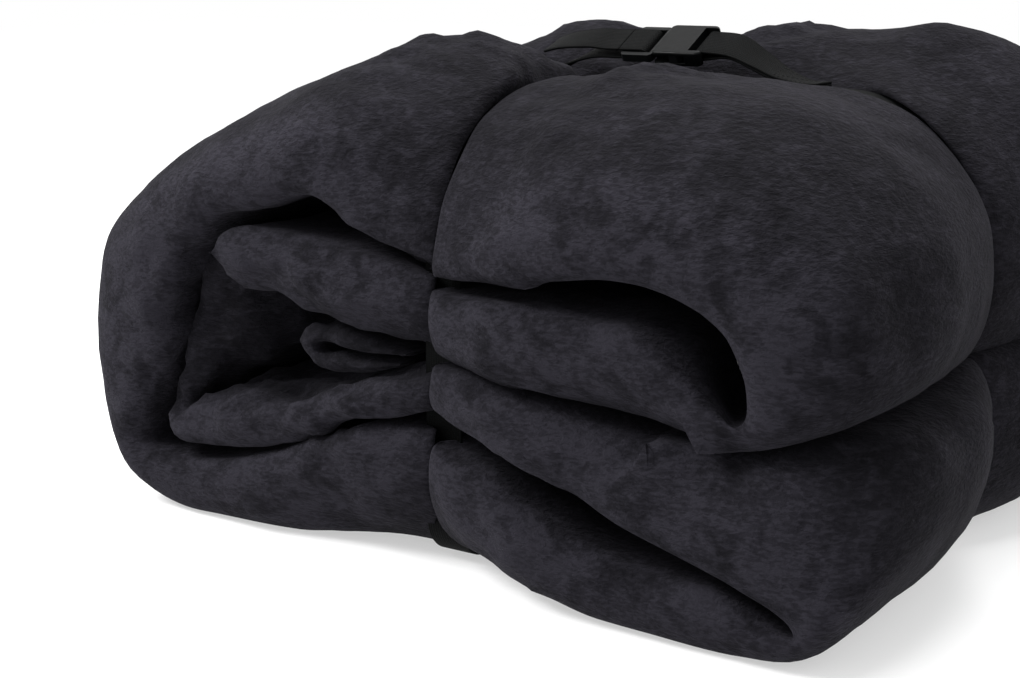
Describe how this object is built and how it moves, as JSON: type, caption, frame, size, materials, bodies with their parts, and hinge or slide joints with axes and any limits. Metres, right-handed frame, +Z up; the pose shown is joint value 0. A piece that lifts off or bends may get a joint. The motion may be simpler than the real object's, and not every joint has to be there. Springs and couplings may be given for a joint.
{
  "type": "infrared sauna blanket",
  "caption": "Padded plush heating blanket, folded into a bundle and tied crosswise by two webbing straps with side release buckles.",
  "frame": {"origin": "middle of the bundle's footprint, on the surface that it stands on", "axes": "+Z up; +X across the end where the folds show; -Y out of that end; the power inlet is in the +Y end"},
  "size_m": [0.566, 0.48, 0.3008],
  "materials": {
    "plush": "dense short pile plush, brushed in patches",
    "felt": "needle felt",
    "film": "reflective film",
    "heater": "carbon fibre heating cloth",
    "copper": "copper foil",
    "lining": "waterproof lining",
    "thermostat": "moulded",
    "sensor": "glass bead",
    "wire": "silicone sleeved",
    "inlet_plastic": "moulded, fine texture",
    "contact": "plated",
    "rivet": "plated",
    "webbing": "woven polypropylene webbing",
    "elastic": "ribbed elastic",
    "buckle": "moulded acetal"
  },
  "bodies": {
    "bundle": {"plush_inlet_patch": "plush", "plush_end_panel": "plush", "plush_upper_inner_panel": "plush", "plush_upper_right_panel": "plush", "plush_top_panel": "plush", "plush_left_panel": "plush", "plush_bottom_panel": "plush", "plush_lower_right_panel": "plush", "plush_lower_inner_panel": "plush", "neck_flap": "plush", "insulation_felt": "felt", "reflective_film": "film", "heater_sheet": "heater", "heater_bus_bars": "copper", "inner_lining": "lining", "overheat_thermostats": "thermostat", "thermal_fuse": "thermostat", "temperature_sensor": "sensor", "power_wires": "wire", "inlet_housing": "inlet_plastic", "inlet_flange": "inlet_plastic", "inlet_pins": "contact", "inlet_rivets": "rivet", "long_strap": "webbing", "cross_strap": "webbing", "cross_plug": "buckle", "long_plug": "buckle"},
    "cross_socket": {"cross_socket": "buckle", "cross_socket_webbing": "webbing"},
    "cross_prong_left": {"cross_prong_left": "buckle"},
    "cross_prong_right": {"cross_prong_right": "buckle"},
    "cross_strap_tail": {"cross_strap_tail": "webbing"},
    "long_socket": {"long_socket": "buckle", "long_socket_webbing": "webbing"},
    "long_prong_left": {"long_prong_left": "buckle"},
    "long_prong_right": {"long_prong_right": "buckle"},
    "long_keeper": {"long_keeper": "elastic"}
  },
  "joints": [
    {"name": "cross_release", "type": "slide", "parent": "bundle", "child": "cross_socket", "axis": [1, 0, 0], "range_m": [0, 0.022]},
    {"name": "cross_prong_left_flex", "type": "hinge", "parent": "bundle", "child": "cross_prong_left", "pos_m": [0.0286, 0.00883, 0.29369], "axis": [0, -0.4695, 0.8829], "range_deg": [-7, 0], "stiffness_Nm_per_rad": 0.3},
    {"name": "cross_prong_right_flex", "type": "hinge", "parent": "bundle", "child": "cross_prong_right", "pos_m": [0.0286, -0.00883, 0.2843], "axis": [0, -0.4695, 0.8829], "range_deg": [0, 7], "stiffness_Nm_per_rad": 0.3},
    {"name": "cross_tail_lift", "type": "hinge", "parent": "bundle", "child": "cross_strap_tail", "pos_m": [0.0018, -0.00136, 0.29156], "axis": [0, 0.8829, 0.4695], "range_deg": [0, 110]},
    {"name": "long_release", "type": "slide", "parent": "bundle", "child": "long_socket", "axis": [0, 0, -1], "range_m": [0, 0.022]},
    {"name": "long_prong_left_flex", "type": "hinge", "parent": "bundle", "child": "long_prong_left", "pos_m": [-0.01, 0.2035, 0.0984], "axis": [0, 1, 0], "range_deg": [-7, 0], "stiffness_Nm_per_rad": 0.3},
    {"name": "long_prong_right_flex", "type": "hinge", "parent": "bundle", "child": "long_prong_right", "pos_m": [0.01, 0.2035, 0.0984], "axis": [0, 1, 0], "range_deg": [0, 7], "stiffness_Nm_per_rad": 0.3},
    {"name": "keeper_slide", "type": "slide", "parent": "bundle", "child": "long_keeper", "axis": [0, 0, 1], "range_m": [-0.003, 0.006]}
  ],
  "couplings": [
    {"joint": "cross_prong_right_flex", "follows": "cross_prong_left_flex", "ratio": -1},
    {"joint": "long_prong_right_flex", "follows": "long_prong_left_flex", "ratio": -1}
  ]
}
